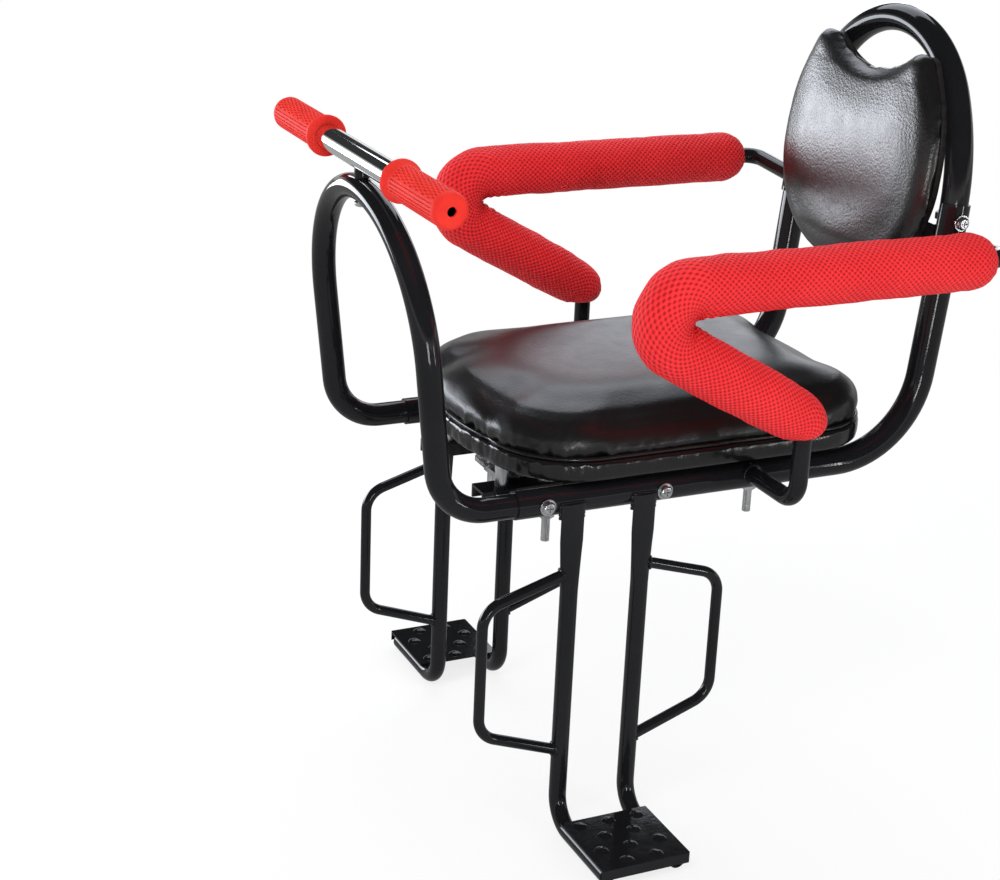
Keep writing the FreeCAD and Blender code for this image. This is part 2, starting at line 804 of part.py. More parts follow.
def mount_rings_and_nuts():
    rings, nuts = [], []
    for point in stud_points(-rack_gap - clamp_thick):
        rings.append(washer(nut_flats / 2 + ring_margin, stud_d / 2 + hole_play, point, up * -1))
        nuts.append(hex_nut(nut_flats, nut_thick, stud_d / 2 + seat_fit, point - up * washer_thick, up * -1))
    return Part.makeCompound(rings), Part.makeCompound(nuts)


def seat_spacers():
    spacers = []
    for point in spacer_points(base_height):
        tube = Part.makeCylinder(spacer_od / 2, seat_gap, point)
        spacers.append(tube.cut(Part.makeCylinder(seat_screw_d / 2 + hole_play, seat_gap, point)))
    return Part.makeCompound(spacers)


def seat_screws():
    screws = []
    for point in spacer_points(base_height - base_wall):
        tip = Vector(point.x, point.y, seat_bottom_z + seat_screw_bite)
        screws.append(pan_head(seat_screw_d, point, up * -1).fuse(cylinder(seat_screw_d / 2, point, tip)))
    return Part.makeCompound(screws)


def build():
    nodes = {}

    def pair(name, shape):
        nodes[name + "_left"] = shape
        nodes[name + "_right"] = mirrored(shape)

    nodes["main_frame"] = main_frame()
    nodes["front_guard"] = front_guard()
    nodes["handlebar"] = handlebar()
    nodes["bar_saddle"] = bar_saddle()
    nodes["bar_screw"] = bar_screw()
    nodes["bar_nut"] = bar_nut()
    pair("grip", grip())
    nodes["seat_base"] = seat_base()
    nodes["seat_cushion"] = seat_cushion()
    nodes["back_board"] = back_board()
    nodes["back_cushion"] = back_cushion()
    for name, height in zip(("lower", "upper"), back_strap_heights):
        nodes["back_strap_" + name] = back_strap(height)
    nodes["back_screws"] = back_screws()
    pair("armrest_tube", armrest_tube())
    pair("armrest_sleeve", armrest_sleeve())
    pair("armrest_saddle", armrest_saddle())
    screw, ring, nut = saddle_screw_solids()
    nodes["saddle_screws"] = both_sides(screw)
    nodes["saddle_washers"] = both_sides(ring)
    nodes["saddle_nuts"] = both_sides(nut)
    nodes["rail_screws"], nodes["rail_washers"], nodes["rail_nuts"] = rail_screw_solids()
    for name, y, direction in zip(("front", "rear"), foot_ys, (-1, 1)):
        pair("foot_tube_" + name, foot_tube(y))
        pair("spoke_rod_" + name, spoke_rod(y, direction))
    pair("foot_plate", foot_plate())
    pair("base_bar", base_bar())
    for name, y in zip(("front", "rear"), strap_ys):
        nodes["cross_strap_" + name] = cross_strap(y)
    for name, y in zip(("front", "rear"), (-stud_half_y, stud_half_y)):
        nodes["clamp_plate_" + name] = clamp_plate(y)
    nodes["mount_studs"] = mount_studs()
    nodes["mount_washers"], nodes["mount_nuts"] = mount_rings_and_nuts()
    nodes["seat_spacers"] = seat_spacers()
    nodes["seat_screws"] = seat_screws()
    return nodes


os.makedirs("parts", exist_ok=True)
for node, shape in build().items():
    shape.exportStep("parts/" + node + ".step")
    print(node, len(shape.Solids), round(shape.Volume / 1000, 2), shape.isValid())
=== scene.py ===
import json
import math
from bisect import bisect_right

import bmesh
import bpy
from mathutils import Matrix, Vector, noise


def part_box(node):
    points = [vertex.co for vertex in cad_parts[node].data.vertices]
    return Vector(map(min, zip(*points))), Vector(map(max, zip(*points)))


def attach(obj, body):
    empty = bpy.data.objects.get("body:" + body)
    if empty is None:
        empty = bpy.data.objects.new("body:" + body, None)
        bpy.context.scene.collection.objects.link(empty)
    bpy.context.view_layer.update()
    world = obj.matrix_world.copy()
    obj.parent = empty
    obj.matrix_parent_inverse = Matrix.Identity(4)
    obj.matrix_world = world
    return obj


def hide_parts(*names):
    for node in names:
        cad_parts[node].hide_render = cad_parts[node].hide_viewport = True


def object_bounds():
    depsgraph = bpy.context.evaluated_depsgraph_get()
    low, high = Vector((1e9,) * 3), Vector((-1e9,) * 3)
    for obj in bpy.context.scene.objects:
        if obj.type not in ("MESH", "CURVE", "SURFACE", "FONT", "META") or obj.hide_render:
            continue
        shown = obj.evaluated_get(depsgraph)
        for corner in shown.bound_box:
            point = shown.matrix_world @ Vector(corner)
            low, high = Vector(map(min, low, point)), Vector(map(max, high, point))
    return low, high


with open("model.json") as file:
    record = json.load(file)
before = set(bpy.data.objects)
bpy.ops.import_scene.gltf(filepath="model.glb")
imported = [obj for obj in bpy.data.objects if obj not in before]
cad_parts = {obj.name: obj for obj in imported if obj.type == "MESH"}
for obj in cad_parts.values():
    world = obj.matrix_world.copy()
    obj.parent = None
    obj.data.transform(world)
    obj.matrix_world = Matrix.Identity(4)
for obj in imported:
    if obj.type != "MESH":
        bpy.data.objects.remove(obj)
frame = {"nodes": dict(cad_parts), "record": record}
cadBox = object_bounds()
print("frame loaded:", len(frame["nodes"]), "nodes")

bothSides = (("Left", 1), ("Right", -1))
mirrorX = Matrix.Scale(-1, 4, Vector((1, 0, 0)))


# Small helpers

def deselectAll():
    if bpy.context.mode != "OBJECT":
        bpy.ops.object.mode_set(mode="OBJECT")
    bpy.ops.object.select_all(action="DESELECT")


def makeActive(piece):
    deselectAll()
    piece.select_set(True)
    bpy.context.view_layer.objects.active = piece


def linkObject(name, data):
    piece = bpy.data.objects.new(name, data)
    bpy.context.scene.collection.objects.link(piece)
    return piece


def applyModifiers(piece):
    makeActive(piece)
    for modifier in list(piece.modifiers):
        bpy.ops.object.modifier_apply(modifier=modifier.name)


def smooth(piece, angle):
    makeActive(piece)
    bpy.ops.object.shade_smooth_by_angle(angle=math.radians(angle))


def outward(piece):
    makeActive(piece)
    bpy.ops.object.mode_set(mode="EDIT")
    bpy.ops.mesh.select_all(action="SELECT")
    bpy.ops.mesh.remove_doubles(threshold=1e-5)
    bpy.ops.mesh.normals_make_consistent(inside=False)
    bpy.ops.object.mode_set(mode="OBJECT")


def joinPieces(name, pieces):
    deselectAll()
    for piece in pieces:
        piece.select_set(True)
    bpy.context.view_layer.objects.active = pieces[0]
    bpy.ops.object.join()
    pieces[0].name = name
    pieces[0].data.name = name
    return pieces[0]


def finishPiece(piece, slot, material, *nodes):
    piece.data.materials.clear()
    piece.data.materials.append(material)
    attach(piece, "root")
    if nodes:
        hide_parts(*nodes)


def shareOf(value, start, length):
    return min(1.0, max(0.0, (value - start) / length))


def addNode(tree, kind, **settings):
    node = tree.nodes.new("ShaderNode" + kind)
    for key, value in settings.items():
        setattr(node, key, value)
    return node


def feed(tree, value, socket):
    if isinstance(value, (int, float, tuple)):
        socket.default_value = value
    else:
        tree.links.new(value, socket)


# Materials, all on object coordinates, apart from the weave on the foam's own UV map

class Nodes:
    def __init__(self, name):
        self.material = bpy.data.materials.new(name)
        self.material.use_nodes = True
        self.tree = self.material.node_tree
        self.shader = self.tree.nodes["Principled BSDF"]
        self.coords = self.add("TexCoord")

    def add(self, kind, **settings):
        return addNode(self.tree, kind, **settings)

    def link(self, source, target):
        self.tree.links.new(source, target)

    def noise(self, scale, detail, rough=0.5, vector=None):
        node = self.add("TexNoise")
        node.inputs["Scale"].default_value = scale
        node.inputs["Detail"].default_value = detail
        node.inputs["Roughness"].default_value = rough
        if vector is None:
            vector = self.coords.outputs["Object"]
        self.link(vector, node.inputs["Vector"])
        return node.outputs["Fac"]

    def cells(self, scale):
        node = self.add("TexVoronoi")
        node.inputs["Scale"].default_value = scale
        self.link(self.coords.outputs["Object"], node.inputs["Vector"])
        return node.outputs["Distance"]

    def ramp(self, source, stops):
        node = self.add("ValToRGB")
        elements = node.color_ramp.elements
        elements[0].position, elements[0].color = stops[0][0], (*stops[0][1], 1)
        elements[1].position, elements[1].color = stops[-1][0], (*stops[-1][1], 1)
        for place, colour in stops[1:-1]:
            element = elements.new(place)
            element.color = (*colour, 1)
        self.link(source, node.inputs["Fac"])
        return node.outputs["Color"]

    def spread(self, source, low, high):
        node = self.add("MapRange")
        node.inputs["To Min"].default_value = low
        node.inputs["To Max"].default_value = high
        self.link(source, node.inputs["Value"])
        return node.outputs["Result"]

    def math(self, operation, a, b=None):
        node = self.add("Math", operation=operation)
        feed(self.tree, a, node.inputs[0])
        if b is not None:
            feed(self.tree, b, node.inputs[1])
        return node.outputs["Value"]

    def bump(self, height, strength, distance, before=None):
        node = self.add("Bump")
        node.inputs["Strength"].default_value = strength
        node.inputs["Distance"].default_value = distance
        self.link(height, node.inputs["Height"])
        if before is not None:
            self.link(before, node.inputs["Normal"])
        return node.outputs["Normal"]

    def set(self, **values):
        for key, value in values.items():
            feed(self.tree, value, self.shader.inputs[key.replace("_", " ")])
        return self.material


def blackPaint():
    n = Nodes("glossBlackPaint")
    patch = n.noise(scale=9.0, detail=4.0)
    peel = n.noise(scale=320.0, detail=2.0)
    dust = n.noise(scale=55.0, detail=5.0, rough=0.65)
    dark, pale = (0.006, 0.0062, 0.0072), (0.0105, 0.0108, 0.0124)
    return n.set(Base_Color=n.ramp(patch, [(0.35, dark), (0.7, pale)]),
                 Roughness=n.spread(dust, low=0.03, high=0.12),
                 Normal=n.bump(peel, strength=0.05, distance=0.0005), IOR=1.46, Specular_IOR_Level=0.36)


def barChrome():
    n = Nodes("barChrome")
    smear = n.noise(scale=24.0, detail=4.0)
    dark, pale = (0.80, 0.81, 0.83), (0.88, 0.89, 0.90)
    return n.set(Base_Color=n.ramp(smear, [(0.3, dark), (0.7, pale)]), Metallic=1.0,
                 Roughness=n.spread(smear, low=0.02, high=0.07))


def zincSteel():
    n = Nodes("zincSteel")
    cloud = n.noise(scale=160.0, detail=4.0)
    dark, pale = (0.52, 0.53, 0.54), (0.74, 0.75, 0.76)
    return n.set(Base_Color=n.ramp(cloud, [(0.3, dark), (0.7, pale)]), Metallic=1.0,
                 Roughness=n.spread(cloud, low=0.16, high=0.34),
                 Normal=n.bump(cloud, strength=0.12, distance=0.0003))


def gripRubber():
    n = Nodes("redGripRubber")
    cloud = n.noise(scale=40.0, detail=4.0)
    fine = n.noise(scale=900.0, detail=2.0)
    dark, pale = (0.72, 0.03, 0.022), (0.80, 0.042, 0.03)
    return n.set(Base_Color=n.ramp(cloud, [(0.3, dark), (0.7, pale)]),
                 Roughness=n.spread(cloud, low=0.52, high=0.64),
                 Normal=n.bump(fine, strength=0.10, distance=0.0003), Specular_IOR_Level=0.05)


def grainVinyl(name, grainScale, grainDepth, creaseDepth, low, high, shine):
    n = Nodes(name)
    pebbleFiner, pebbleShare = 1.7, 0.5
    cell = n.cells(grainScale)
    pebble = n.cells(grainScale * pebbleFiner)
    crease = n.noise(scale=70.0, detail=3.0)
    patch = n.noise(scale=7.0, detail=3.0)
    height = n.math("ADD", cell, n.math("MULTIPLY", pebble, pebbleShare))
    normal = n.bump(height, strength=0.55, distance=grainDepth)
    normal = n.bump(crease, strength=0.22, distance=creaseDepth, before=normal)
    dark, pale = (0.004, 0.004, 0.0042), (0.0075, 0.0072, 0.0075)
    return n.set(Base_Color=n.ramp(patch, [(0.3, dark), (0.7, pale)]),
                 Roughness=n.spread(crease, low, high), Normal=normal, IOR=1.5, Specular_IOR_Level=shine)


# The hole tints are painted shade: they darken the red towards the middle of each hole of the weave
weave = {"cellsRound": 31, "pitch": 0.0054, "threadDepth": 0.16,
         "holeShadeTints": [(0.0, (1.0, 1.0, 1.0)), (0.42, (0.97, 0.93, 0.93)), (0.72, (0.68, 0.5, 0.5)),
                       (1.0, (0.40, 0.2, 0.2))]}


def meshCloth():
    n = Nodes("redMeshCloth")
    split = n.add("SeparateXYZ")
    n.link(n.coords.outputs["UV"], split.inputs["Vector"])
    along = n.math("COSINE", n.math("MULTIPLY", split.outputs["X"], 2 * math.pi / weave["pitch"]))
    around = n.math("COSINE", n.math("MULTIPLY", split.outputs["Y"], 2 * math.pi * weave["cellsRound"]))
    hole = n.math("ADD", n.math("MULTIPLY", n.math("MULTIPLY", along, around), 0.5), 0.5)
    thread = n.noise(scale=1400.0, detail=2.0)
    patch = n.noise(scale=14.0, detail=3.0)
    dark, pale = (0.85, 0.028, 0.034), (0.94, 0.036, 0.043)
    tint = n.add("Mix", data_type="RGBA", blend_type="MULTIPLY")
    tint.inputs["Factor"].default_value = 1.0
    n.link(n.ramp(patch, [(0.3, dark), (0.7, pale)]), tint.inputs[6])
    # Painted shade: the red is multiplied darker towards the middle of each hole
    n.link(n.ramp(hole, weave["holeShadeTints"]), tint.inputs[7])
    depth = n.math("ADD", n.math("MULTIPLY", hole, -1.0), n.math("MULTIPLY", thread, weave["threadDepth"]))
    return n.set(Base_Color=tint.outputs[2], Roughness=0.66, Specular_IOR_Level=0.18,
                 Normal=n.bump(depth, strength=0.9, distance=0.0013))


def stainedBoard():
    n = Nodes("blackStainedBoard")
    place = n.add("Mapping")
    place.inputs["Scale"].default_value = (6.0, 60.0, 220.0)
    n.link(n.coords.outputs["Object"], place.inputs["Vector"])
    fibre = n.noise(scale=1.0, detail=5.0, rough=0.6, vector=place.outputs["Vector"])
    dark, pale = (0.008, 0.007, 0.007), (0.022, 0.019, 0.018)
    return n.set(Base_Color=n.ramp(fibre, [(0.3, dark), (0.7, pale)]),
                 Roughness=n.spread(fibre, low=0.42, high=0.62),
                 Normal=n.bump(fibre, strength=0.25, distance=0.0006))


paint = blackPaint()
chrome = barChrome()
zinc = zincSteel()
rubber = gripRubber()
seatVinyl = grainVinyl("seatVinyl", grainScale=400.0, grainDepth=0.00015, creaseDepth=0.0003,
                       low=0.27, high=0.4, shine=0.5)
backVinyl = grainVinyl("backVinyl", grainScale=380.0, grainDepth=0.00024, creaseDepth=0.0002,
                       low=0.24, high=0.38, shine=0.85)
bandVinyl = grainVinyl("bandVinyl", grainScale=700.0, grainDepth=0.0001, creaseDepth=0.0012,
                       low=0.10, high=0.22, shine=0.5)
cloth = meshCloth()
board = stainedBoard()
slotLook = {"black_paint": paint, "bar_chrome": chrome, "zinc_steel": zinc, "grip_rubber": rubber,
            "black_vinyl": seatVinyl, "red_mesh": cloth, "board_wood": board}
for part in frame["record"]["subparts"]:
    node = frame["nodes"][part["node"]]
    node.data.materials.clear()
    node.data.materials.append(slotLook[part["material_slot"]])
print("materials set")


# Armrest foam in mesh cloth

armFoam = {
    "x": 0.210, "postY": 0.060, "lowZ": 0.080, "topZ": 0.229, "frontY": -0.086, "rearY": 0.235,
    "turnRadius": 0.028, "kneeBend": 0.0265, "runAngle": 29.7,
    "step": 0.0022, "arcFiner": 1.9, "arcFewest": 6, "radius": 0.025, "tubeRadius": 0.0082, "sides": 80,
    "start": 0.007, "lowDome": 0.013, "rearDome": 0.023, "taperLength": 0.06, "taper": 0.12,
    "domeShape": [(0.0, 0.34), (0.017, 0.44), (0.08, 0.57), (0.2, 0.70), (0.37, 0.82), (0.59, 0.92),
                  (0.8, 0.975), (1.0, 1.0)],
    "lump": 0.0009, "lumpScale": 34.0, "sideShift": 3.1, "dent": 0.0005, "dentScale": 90.0,
    "crease": 0.0011, "creaseReach": 0.012, "creasePitch": 0.0085, "creaseSlant": 2.2,
    "pinch": 0.0006, "lowPinch": 0.024, "rearPinch": 0.03, "folds": 14, "foldWander": 3.0, "foldScale": 60.0,
}


def bentLine(corners, bends):
    f = armFoam
    points = []
    last = corners[0]

    def run(start, end):
        count = max(1, round((end - start).length / f["step"]))
        for k in range(count):
            points.append(start.lerp(end, k / count))

    for here, before, after, bend in zip(corners[1:], corners, corners[2:], bends):
        back = (before - here).normalized()
        ahead = (after - here).normalized()
        half = back.angle(ahead) / 2
        start = here + back * (bend / math.tan(half))
        end = here + ahead * (bend / math.tan(half))
        centre = here + (back + ahead).normalized() * (bend / math.sin(half))
        run(last, start)
        turn = math.pi - 2 * half
        axis = back.cross(ahead).normalized()
        count = max(f["arcFewest"], round(turn * bend * f["arcFiner"] / f["step"]))
        for k in range(count):
            swing = Matrix.Rotation(-turn * k / count, 3, axis)
            points.append(centre + swing @ (start - centre))
        last = end
    run(last, corners[-1])
    points.append(corners[-1].copy())
    return points


def foamCorners():
    f = armFoam
    slope = math.radians(f["runAngle"])
    turnY = f["frontY"] + f["turnRadius"]
    turnZ = f["topZ"] - f["turnRadius"]
    touchY = turnY - f["turnRadius"] * math.sin(slope)
    touchZ = turnZ - f["turnRadius"] * math.cos(slope)
    kneeZ = touchZ - (f["postY"] - touchY) * math.tan(slope)
    cornerY = touchY - (f["topZ"] - touchZ) / math.tan(slope)
    return [Vector((f["x"], f["postY"], f["lowZ"])), Vector((f["x"], f["postY"], kneeZ)),
            Vector((f["x"], cornerY, f["topZ"])), Vector((f["x"], f["rearY"], f["topZ"]))]


def foamRows(first, last):
    f = armFoam
    plain = last - first - f["lowDome"] - f["rearDome"]
    count = round(plain / f["step"])
    rows = [(first + push * f["lowDome"], share) for push, share in f["domeShape"]]
    rows += [(first + f["lowDome"] + plain * k / count, 1.0) for k in range(1, count)]
    rows += [(last - push * f["rearDome"], share) for push, share in reversed(f["domeShape"])]
    return rows


def foamSwell(spot, at, angle, sideSign, creased, gathered):
    f = armFoam
    swell = f["lump"] * noise.noise(spot * f["lumpScale"] + Vector((sideSign * f["sideShift"], 0, 0)))
    swell += f["dent"] * noise.noise(spot * f["dentScale"])
    slant = f["creaseSlant"] * math.cos(angle)
    swell += creased * f["crease"] * math.sin(at * 2 * math.pi / f["creasePitch"] + slant)
    wander = f["foldWander"] * noise.noise(spot * f["foldScale"])
    swell += gathered * f["pinch"] * math.cos(f["folds"] * angle + wander)
    return swell


def armFoamRoll(name, sideSign):
    f = armFoam
    line = bentLine(foamCorners(), [f["kneeBend"], f["turnRadius"]])
    marks = [0.0]
    for a, b in zip(line, line[1:]):
        marks.append(marks[-1] + (b - a).length)

    def spotAt(at):
        k = min(max(bisect_right(marks, at) - 1, 0), len(line) - 2)
        return line[k].lerp(line[k + 1], (at - marks[k]) / (marks[k + 1] - marks[k]))

    first, last = f["start"], marks[-1]
    across = Vector((1, 0, 0))
    turnCentre = Vector((f["x"], f["frontY"] + f["turnRadius"], f["topZ"] - f["turnRadius"]))
    bm = bmesh.new()
    uvLayer = bm.loops.layers.uv.new("weave")
    rings = []
    for at, share in foamRows(first, last):
        point = spotAt(at)
        lift = across.cross(spotAt(at + f["step"]) - spotAt(at - f["step"])).normalized()
        inward = (turnCentre - point).normalized()
        offTurn = abs((point - turnCentre).length - f["turnRadius"])
        nearTurn = max(0.0, 1.0 - offTurn / f["creaseReach"])
        gathered = max(0.0, 1.0 - (at - first) / f["lowPinch"]) + max(0.0, 1.0 - (last - at) / f["rearPinch"])
        thin = 1.0 - f["taper"] * max(0.0, 1.0 - (at - first) / f["taperLength"])
        ring = []
        for j in range(f["sides"]):
            angle = 2 * math.pi * j / f["sides"]
            direction = across * math.cos(angle) + lift * math.sin(angle)
            creased = nearTurn * max(0.0, direction.dot(inward))
            swell = foamSwell(point + direction * f["radius"], at, angle, sideSign, creased, gathered)
            radius = f["radius"] * share * thin + swell * min(1.0, share * share)
            ring.append(bm.verts.new(point + direction * max(radius, f["tubeRadius"])))
        rings.append((ring, at))
    for (low, lowAt), (high, highAt) in zip(rings, rings[1:]):
        for j in range(f["sides"]):
            k = (j + 1) % f["sides"]
            face = bm.faces.new((low[j], low[k], high[k], high[j]))
            for loop, uv in zip(face.loops, ((lowAt, j), (lowAt, j + 1), (highAt, j + 1), (highAt, j))):
                loop[uvLayer].uv = (uv[0], uv[1] / f["sides"])
    bmesh.ops.recalc_face_normals(bm, faces=bm.faces)
    mesh = bpy.data.meshes.new(name)
    bm.to_mesh(mesh)
    bm.free()
    if sideSign < 0:
        mesh.transform(mirrorX)
        mesh.flip_normals()
    piece = linkObject(name, mesh)
    smooth(piece, 60)
    return piece


for word, sign in bothSides:
    roll = armFoamRoll("armFoam" + word, sign)
    finishPiece(roll, "red_mesh", cloth, "armrest_sleeve_" + word.lower())
print("armrest foam made")


# Cushions

def copyNode(node, name):
    piece = linkObject(name, frame["nodes"][node].data.copy())
    outward(piece)
    return piece


def remeshed(piece, voxel):
    modifier = piece.modifiers.new("even", "REMESH")
    modifier.mode = "VOXEL"
    modifier.voxel_size = voxel
    applyModifiers(piece)


def subdivided(piece):
    modifier = piece.modifiers.new("even", "SUBSURF")
    modifier.levels = 1
    applyModifiers(piece)


# The cloth's moves are cut to the swell's length and then evened out
def inflate(piece, values, isHeld):
    start = [v.co.copy() for v in piece.data.vertices]
    held = piece.vertex_groups.new(name="held")
    held.add([v.index for v in piece.data.vertices if isHeld(v.co)], 1.0, "REPLACE")
    makeActive(piece)
    modifier = piece.modifiers.new("stuffing", "CLOTH")
    settings = modifier.settings
    settings.use_pressure = True
    settings.uniform_pressure_force = values["pressure"]
    settings.effector_weights.gravity = 0
    settings.vertex_group_mass = "held"
    modifier.point_cache.frame_start = 1
    modifier.point_cache.frame_end = values["frames"]
    scene = bpy.context.scene
    for k in range(1, values["frames"] + 1):
        scene.frame_set(k)
    bpy.ops.object.modifier_apply(modifier=modifier.name)
    moves = [v.co - first for v, first in zip(piece.data.vertices, start)]
    moves = [m.normalized() * min(m.length, values["swell"]) for m in moves]
    near = [[] for m in moves]
    for edge in piece.data.edges:
        a, b = edge.vertices
        near[a].append(b)
        near[b].append(a)
    for k in range(values["ease"]):
        moves = [sum((moves[j] for j in others), m) / (len(others) + 1) for m, others in zip(moves, near)]
    for vertex, first, move in zip(piece.data.vertices, start, moves):
        vertex.co = first + move
    scene.frame_set(1)
    piece.vertex_groups.clear()


def pushOut(piece, moves, mayMove):
    normals = [v.normal.copy() for v in piece.data.vertices]
    for vertex, normal, move in zip(piece.data.vertices, normals, moves):
        if mayMove(vertex.co):
            vertex.co += normal * move
    piece.data.update()


# Each row of pleats is its share, how much finer it runs, its scale along Z and its place in the noise
def pleatHeight(values, co):
    at = math.atan2(co.x, -co.y) * values["meanRadius"] / values["pleatPitch"]
    return sum(share * noise.noise(Vector((at * finer, co.z * rise, place)))
               for share, finer, rise, place in values["pleats"])


seatPad = {
    "voxel": 0.005, "pressure": 4.0, "swell": 0.009, "frames": 20, "ease": 16,
    "foot": 0.0585, "heldHeight": 0.006, "full": 0.005, "fullFrom": 0.004, "smoothing": 10,
    "gather": 0.0032, "gatherHeight": 0.016, "gatherFrom": 0.0015, "gatherBelow": 0.002, "gatherLeast": 0.25,
    "meanRadius": 0.165, "pleatPitch": 0.0065, "pleats": ((1.0, 1.0, 30.0, 1.7), (0.5, 2.1, 60.0, 5.0)),
    "frontStart": 0.02, "frontLength": 0.10, "frontHalf": 0.06, "frontMiddle": 0.35,
    "rearStart": 0.11, "rearLength": 0.05, "rearHalf": 0.1, "flow": 0.0003, "flowScale": 16.0,
}


def makeSeatPad():
    s = seatPad
    piece = copyNode("seat_cushion", "seatPad")
    remeshed(piece, s["voxel"])
    low = s["foot"]
    inflate(piece, s, lambda co: co.z < low + s["heldHeight"])
    subdivided(piece)
    rises = [min(1.0, max(0.0, v.normal.z)) for v in piece.data.vertices]
    moves = [4 * rise * (1 - rise) * s["full"] for rise in rises]
    pushOut(piece, moves, lambda co: co.z > low + s["fullFrom"])
    modifier = piece.modifiers.new("even", "SMOOTH")
    modifier.iterations = s["smoothing"]
    applyModifiers(piece)
    moves = []
    for vertex in piece.data.vertices:
        co = vertex.co
        share = max(0.0, 1.0 - (co.z - low) / s["gatherHeight"]) if co.z > low - s["gatherBelow"] else 0.0
        front = shareOf(-co.y, s["frontStart"], s["frontLength"])
        front *= min(1.0, abs(co.x) / s["frontHalf"] + s["frontMiddle"])
        rear = shareOf(co.y, s["rearStart"], s["rearLength"]) * min(1.0, abs(co.x) / s["rearHalf"])
        corner = s["gatherLeast"] + (1 - s["gatherLeast"]) * max(front, rear)
        flow = noise.noise(co * s["flowScale"]) * s["flow"]
        moves.append(pleatHeight(s, co) * s["gather"] * share * corner + flow)
    pushOut(piece, moves, lambda co: co.z > low + s["gatherFrom"])
    smooth(piece, 180)
    return piece


seatBand = {
    "voxel": 0.004, "meanRadius": 0.165, "pleatPitch": 0.011,
    "pleats": ((1.0, 1.0, 45.0, 8.0), (0.6, 2.3, 80.0, 2.0)),
    "frontStart": 0.02, "frontLength": 0.10, "crease": 0.0004, "frontCrease": 0.0009,
}


def makeSeatBand():
    s = seatBand
    piece = copyNode("seat_base", "seatBand")
    remeshed(piece, s["voxel"])
    subdivided(piece)
    moves = []
    for vertex in piece.data.vertices:
        co = vertex.co
        side = 1.0 - abs(vertex.normal.z)
        front = shareOf(-co.y, s["frontStart"], s["frontLength"])
        moves.append(side * (s["crease"] + s["frontCrease"] * front) * pleatHeight(s, co))
    pushOut(piece, moves, lambda co: True)
    smooth(piece, 180)
    return piece


backPad = {
    "voxel": 0.005, "pressure": 4.0, "swell": 0.005, "frames": 20, "ease": 16, "lean": 5.5,
    "heldDepth": 0.007, "stillDepth": 0.002, "flow": 0.0004, "flowScale": 14.0,
    "ripple": 0.0011, "rippleScales": (40.0, 70.0, 75.0),
}


def makeBackPad():
    b = backPad
    piece = copyNode("back_cushion", "backPad")
    remeshed(piece, b["voxel"])
    lean = math.radians(b["lean"])
    rear = Vector((0, math.cos(lean), -math.sin(lean)))
    deepest = max(v.co.dot(rear) for v in piece.data.vertices)
    inflate(piece, b, lambda co: co.dot(rear) > deepest - b["heldDepth"])
    subdivided(piece)
    acrossScale, depthScale, riseScale = b["rippleScales"]
    moves = []
    for vertex in piece.data.vertices:
        co = vertex.co
        side = 1.0 - abs(vertex.normal.dot(rear))
        ripple = noise.noise(Vector((co.x * acrossScale, co.dot(rear) * depthScale, co.z * riseScale)))
        flow = noise.noise(co * b["flowScale"]) * b["flow"]
        moves.append(ripple * b["ripple"] * side * side + flow * (1.0 - side))
    pushOut(piece, moves, lambda co: co.dot(rear) < deepest - b["stillDepth"])
    smooth(piece, 180)
    return piece


seatPiece = makeSeatPad()
finishPiece(seatPiece, "black_vinyl", seatVinyl, "seat_cushion")
bandPiece = makeSeatBand()
finishPiece(bandPiece, "black_vinyl", bandVinyl, "seat_base")
backPiece = makeBackPad()
finishPiece(backPiece, "black_vinyl", backVinyl, "back_cushion")
print("cushions made")


# Ribbed grips: profiles give the way from an end, and how far the rubber lies below the full radius

gripShape = {
    "end": 0.1935, "length": 0.108, "bore": 0.0111, "radius": 0.0152, "flangeRadius": 0.0185, "neck": 0.0095,
    "flangeProfile": ((0.0, 0.0022), (0.0009, 0.0006), (0.0024, 0.0), (0.005, 0.0002), (0.0068, 0.0013)),
    "endProfile": ((0.0055, 0.0), (0.0022, 0.0009), (0.0006, 0.0026), (0.0, 0.0048), (0.0003, 0.0082),
                   (0.0008, 0.0112), (0.0034, 0.0112)),
    "ribs": 30, "ribHeight": 0.001, "ribInset": 0.00025, "ribStart": 0.014, "ribEnd": 0.1, "rows": 14,
    "topShare": 0.5, "outerShare": 0.95, "edgeWidth": 0.0002, "edgeAngle": 38,
}


def gripProfile(inner, rowLength):
    g = gripShape
    profile = [(inner, g["bore"])]
    profile += [(inner + way, g["flangeRadius"] - below) for way, below in g["flangeProfile"]]
    profile.append((inner + g["neck"], g["radius"]))
    profile += [(inner + g["ribStart"] + rowLength * k, g["radius"]) for k in range(g["rows"] + 1)]
    profile += [(g["end"] - way, g["radius"] - below) for way, below in g["endProfile"]]
    return profile


